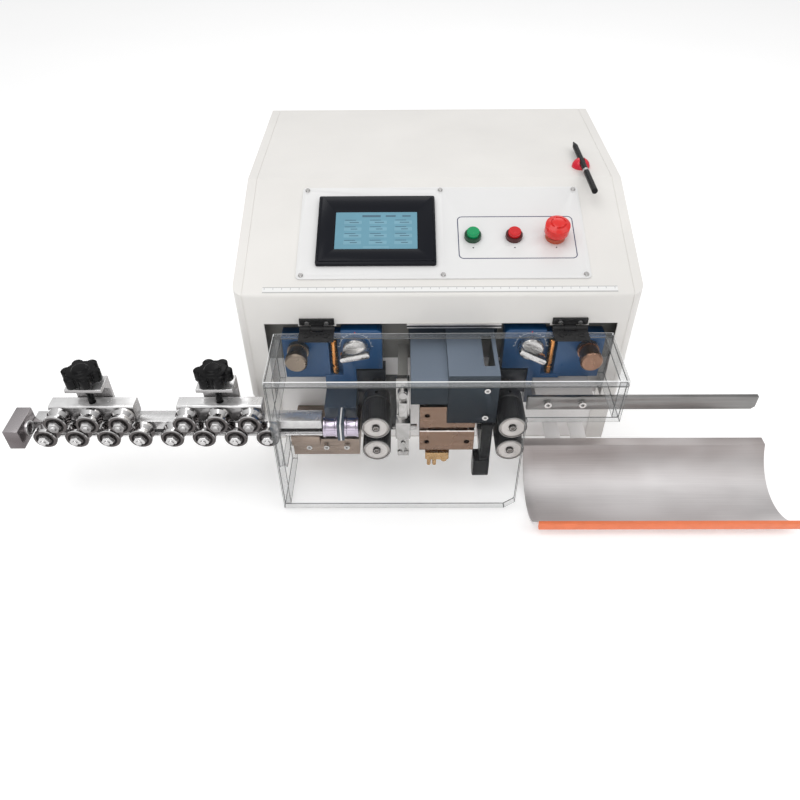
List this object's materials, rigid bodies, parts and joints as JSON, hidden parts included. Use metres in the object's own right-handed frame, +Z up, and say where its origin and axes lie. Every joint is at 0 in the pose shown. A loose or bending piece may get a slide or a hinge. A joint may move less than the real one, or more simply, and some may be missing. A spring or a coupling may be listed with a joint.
{
  "type": "wire cutting and stripping machine",
  "caption": "Benchtop machine that straightens, feeds, cuts and strips electric wire, with a sloping touch-screen panel, clear hinged safety cover, roller straightener and collecting tray.",
  "frame": {"origin": "middle of the whole part's footprint, on the table", "axes": "+X to the right along the wire, +Y from the operator to the back of the machine, +Z up"},
  "size_m": [0.967, 0.5458, 0.3355],
  "materials": {
    "housing_paint": "satin powder coat",
    "panel_paint": "satin paint",
    "foot_rubber": "matt",
    "screw_steel": "bright",
    "screen_black": "gloss",
    "collar_metal": "satin",
    "scale_white": "satin",
    "holder_red": "gloss",
    "inlet_black": "matt",
    "plate_grey": "satin anodised",
    "hinge_black": "satin",
    "block_blue": "blue anodised",
    "pin_steel": "turned",
    "hood_grey": "satin paint",
    "guide_steel": "turned",
    "guide_black": "satin",
    "rail_steel": "ground",
    "bar_steel": "brushed",
    "brass": "turned",
    "straightener_alu": "milled",
    "motor_black": "satin",
    "clear_cover": "clear acrylic",
    "start_green": "gloss",
    "stop_red": "gloss",
    "estop_red": "gloss",
    "dial_alu": "turned",
    "feed_rubber": "fine knurl",
    "blade_steel": "ground",
    "knob_black": "satin",
    "roller_steel": "turned",
    "pen_black": "satin",
    "tray_steel": "brushed",
    "strip_orange": "satin"
  },
  "bodies": {
    "frame": {"base_chassis": "housing_paint", "top_cover": "housing_paint", "side_panels": "housing_paint", "feet": "foot_rubber", "control_panel": "panel_paint", "fasteners": "screw_steel", "touch_screen": "screen_black", "button_collars": "collar_metal", "scale_strip": "scale_white", "pen_holder": "holder_red", "power_inlet": "inlet_black", "mechanism_plate": "plate_grey", "hinge_fixed_leaves": "hinge_black", "roller_housings": "block_blue", "pivot_pins": "pin_steel", "head_cover": "hood_grey", "infeed_guides": "guide_steel", "outfeed_guide": "guide_black", "lower_rail": "rail_steel", "support_bar": "bar_steel", "brass_fittings": "brass", "straightener_rail": "straightener_alu", "straightener_fittings": "straightener_alu", "drive_motors": "motor_black"},
    "cover": {"safety_cover": "clear_cover", "hinge_moving_leaves": "hinge_black"},
    "start": {"start_button": "start_green"},
    "stop": {"stop_button": "stop_red"},
    "estop": {"emergency_stop": "estop_red"},
    "infeed_dial": {"infeed_dial": "dial_alu"},
    "outfeed_dial": {"outfeed_dial": "dial_alu"},
    "infeed_carrier": {"infeed_carrier": "block_blue"},
    "outfeed_carrier": {"outfeed_carrier": "block_blue"},
    "infeed_upper": {"infeed_upper_roller": "feed_rubber"},
    "infeed_lower": {"infeed_lower_roller": "feed_rubber"},
    "outfeed_upper": {"outfeed_upper_roller": "feed_rubber"},
    "outfeed_lower": {"outfeed_lower_roller": "feed_rubber"},
    "upper_blade": {"upper_blade_block": "blade_steel"},
    "lower_blade": {"lower_blade_block": "blade_steel"},
    "knob_a": {"star_knob_a": "knob_black"},
    "knob_b": {"star_knob_b": "knob_black"},
    "carriage_a": {"carriage_a": "straightener_alu"},
    "carriage_b": {"carriage_b": "straightener_alu"},
    "low_1": {"low_roller_1": "roller_steel"},
    "low_2": {"low_roller_2": "roller_steel"},
    "low_3": {"low_roller_3": "roller_steel"},
    "low_4": {"low_roller_4": "roller_steel"},
    "low_5": {"low_roller_5": "roller_steel"},
    "low_6": {"low_roller_6": "roller_steel"},
    "low_7": {"low_roller_7": "roller_steel"},
    "low_8": {"low_roller_8": "roller_steel"},
    "up_1": {"up_roller_1": "roller_steel"},
    "up_2": {"up_roller_2": "roller_steel"},
    "up_3": {"up_roller_3": "roller_steel"},
    "up_4": {"up_roller_4": "roller_steel"},
    "up_5": {"up_roller_5": "roller_steel"},
    "up_6": {"up_roller_6": "roller_steel"},
    "pen": {"stylus_pen": "pen_black"},
    "tray": {"wire_tray": "tray_steel", "tray_edge_strip": "strip_orange"}
  },
  "joints": [
    {"name": "cover_hinge", "type": "hinge", "parent": "frame", "child": "cover", "pos_m": [0.0325, -0.14206, 0.221], "axis": [-1, 0, 0], "range_deg": [0, 86]},
    {"name": "start_press", "type": "slide", "parent": "frame", "child": "start", "axis": [0, 0.3195, -0.9476], "range_m": [0, 0.003], "stiffness_N_per_m": 700},
    {"name": "stop_press", "type": "slide", "parent": "frame", "child": "stop", "axis": [0, 0.3195, -0.9476], "range_m": [0, 0.003], "stiffness_N_per_m": 700},
    {"name": "estop_press", "type": "slide", "parent": "frame", "child": "estop", "axis": [0, 0.3195, -0.9476], "range_m": [0, 0.004]},
    {"name": "infeed_dial_turn", "type": "hinge", "parent": "frame", "child": "infeed_dial", "pos_m": [-0.0645, -0.13706, 0.19], "axis": [0, -1, 0], "range_deg": [-91, 181]},
    {"name": "infeed_carrier_lift", "type": "slide", "parent": "frame", "child": "infeed_carrier", "axis": [0, 0, 1], "range_m": [-0.002, 0.004]},
    {"name": "infeed_lower_spin", "type": "hinge", "parent": "frame", "child": "infeed_lower", "pos_m": [-0.0395, -0.13706, 0.0943], "axis": [0, 1, 0], "continuous": true},
    {"name": "infeed_upper_spin", "type": "hinge", "parent": "infeed_carrier", "child": "infeed_upper", "pos_m": [-0.0395, -0.13706, 0.1317], "axis": [0, 1, 0], "continuous": true},
    {"name": "outfeed_dial_turn", "type": "hinge", "parent": "frame", "child": "outfeed_dial", "pos_m": [0.1465, -0.13706, 0.19], "axis": [0, -1, 0], "range_deg": [-91, 181]},
    {"name": "outfeed_carrier_lift", "type": "slide", "parent": "frame", "child": "outfeed_carrier", "axis": [0, 0, 1], "range_m": [-0.002, 0.004]},
    {"name": "outfeed_lower_spin", "type": "hinge", "parent": "frame", "child": "outfeed_lower", "pos_m": [0.1215, -0.13706, 0.0943], "axis": [0, 1, 0], "continuous": true},
    {"name": "outfeed_upper_spin", "type": "hinge", "parent": "outfeed_carrier", "child": "outfeed_upper", "pos_m": [0.1215, -0.13706, 0.1317], "axis": [0, 1, 0], "continuous": true},
    {"name": "upper_blade_slide", "type": "slide", "parent": "frame", "child": "upper_blade", "axis": [0, 0, 1], "range_m": [-0.0015, 0.005]},
    {"name": "lower_blade_slide", "type": "slide", "parent": "frame", "child": "lower_blade", "axis": [0, 0, 1], "range_m": [-0.0051, 0.0016]},
    {"name": "knob_a_turn", "type": "hinge", "parent": "frame", "child": "knob_a", "pos_m": [-0.387, -0.17306, 0], "axis": [0, 0, 1], "range_deg": [-2306, 578]},
    {"name": "carriage_a_slide", "type": "slide", "parent": "frame", "child": "carriage_a", "axis": [0, 0, 1], "range_m": [-0.002, 0.008]},
    {"name": "knob_b_turn", "type": "hinge", "parent": "frame", "child": "knob_b", "pos_m": [-0.231, -0.17306, 0], "axis": [0, 0, 1], "range_deg": [-2306, 578]},
    {"name": "carriage_b_slide", "type": "slide", "parent": "frame", "child": "carriage_b", "axis": [0, 0, 1], "range_m": [-0.002, 0.008]},
    {"name": "low_1_spin", "type": "hinge", "parent": "frame", "child": "low_1", "pos_m": [-0.4455, -0.13706, 0.1015], "axis": [0, 1, 0], "continuous": true},
    {"name": "low_2_spin", "type": "hinge", "parent": "frame", "child": "low_2", "pos_m": [-0.4065, -0.13706, 0.1015], "axis": [0, 1, 0], "continuous": true},
    {"name": "low_3_spin", "type": "hinge", "parent": "frame", "child": "low_3", "pos_m": [-0.3675, -0.13706, 0.1015], "axis": [0, 1, 0], "continuous": true},
    {"name": "low_4_spin", "type": "hinge", "parent": "frame", "child": "low_4", "pos_m": [-0.3285, -0.13706, 0.1015], "axis": [0, 1, 0], "continuous": true},
    {"name": "low_5_spin", "type": "hinge", "parent": "frame", "child": "low_5", "pos_m": [-0.2895, -0.13706, 0.1015], "axis": [0, 1, 0], "continuous": true},
    {"name": "low_6_spin", "type": "hinge", "parent": "frame", "child": "low_6", "pos_m": [-0.2505, -0.13706, 0.1015], "axis": [0, 1, 0], "continuous": true},
    {"name": "low_7_spin", "type": "hinge", "parent": "frame", "child": "low_7", "pos_m": [-0.2115, -0.13706, 0.1015], "axis": [0, 1, 0], "continuous": true},
    {"name": "low_8_spin", "type": "hinge", "parent": "frame", "child": "low_8", "pos_m": [-0.1725, -0.13706, 0.1015], "axis": [0, 1, 0], "continuous": true},
    {"name": "up_1_spin", "type": "hinge", "parent": "carriage_a", "child": "up_1", "pos_m": [-0.426, -0.13706, 0.1245], "axis": [0, 1, 0], "continuous": true},
    {"name": "up_2_spin", "type": "hinge", "parent": "carriage_a", "child": "up_2", "pos_m": [-0.387, -0.13706, 0.1245], "axis": [0, 1, 0], "continuous": true},
    {"name": "up_3_spin", "type": "hinge", "parent": "carriage_a", "child": "up_3", "pos_m": [-0.348, -0.13706, 0.1245], "axis": [0, 1, 0], "continuous": true},
    {"name": "up_4_spin", "type": "hinge", "parent": "carriage_b", "child": "up_4", "pos_m": [-0.27, -0.13706, 0.1245], "axis": [0, 1, 0], "continuous": true},
    {"name": "up_5_spin", "type": "hinge", "parent": "carriage_b", "child": "up_5", "pos_m": [-0.231, -0.13706, 0.1245], "axis": [0, 1, 0], "continuous": true},
    {"name": "up_6_spin", "type": "hinge", "parent": "carriage_b", "child": "up_6", "pos_m": [-0.192, -0.13706, 0.1245], "axis": [0, 1, 0], "continuous": true},
    {"name": "pen_pull", "type": "slide", "parent": "frame", "child": "pen", "axis": [0, -1, 0], "range_m": [0, 0.09]},
    {"name": "tray_lift", "type": "slide", "parent": "frame", "child": "tray", "axis": [0, 0, 1], "range_m": [0, 0.06]}
  ],
  "couplings": [
    {"joint": "infeed_dial_turn", "follows": "infeed_carrier_lift", "rad_per_m": 785.4},
    {"joint": "infeed_upper_spin", "follows": "infeed_lower_spin", "ratio": -1},
    {"joint": "outfeed_dial_turn", "follows": "outfeed_carrier_lift", "rad_per_m": 785.4},
    {"joint": "outfeed_upper_spin", "follows": "outfeed_lower_spin", "ratio": -1},
    {"joint": "lower_blade_slide", "follows": "upper_blade_slide", "ratio": -1},
    {"joint": "knob_a_turn", "follows": "carriage_a_slide", "rad_per_m": -5026.5},
    {"joint": "knob_b_turn", "follows": "carriage_b_slide", "rad_per_m": -5026.5}
  ]
}
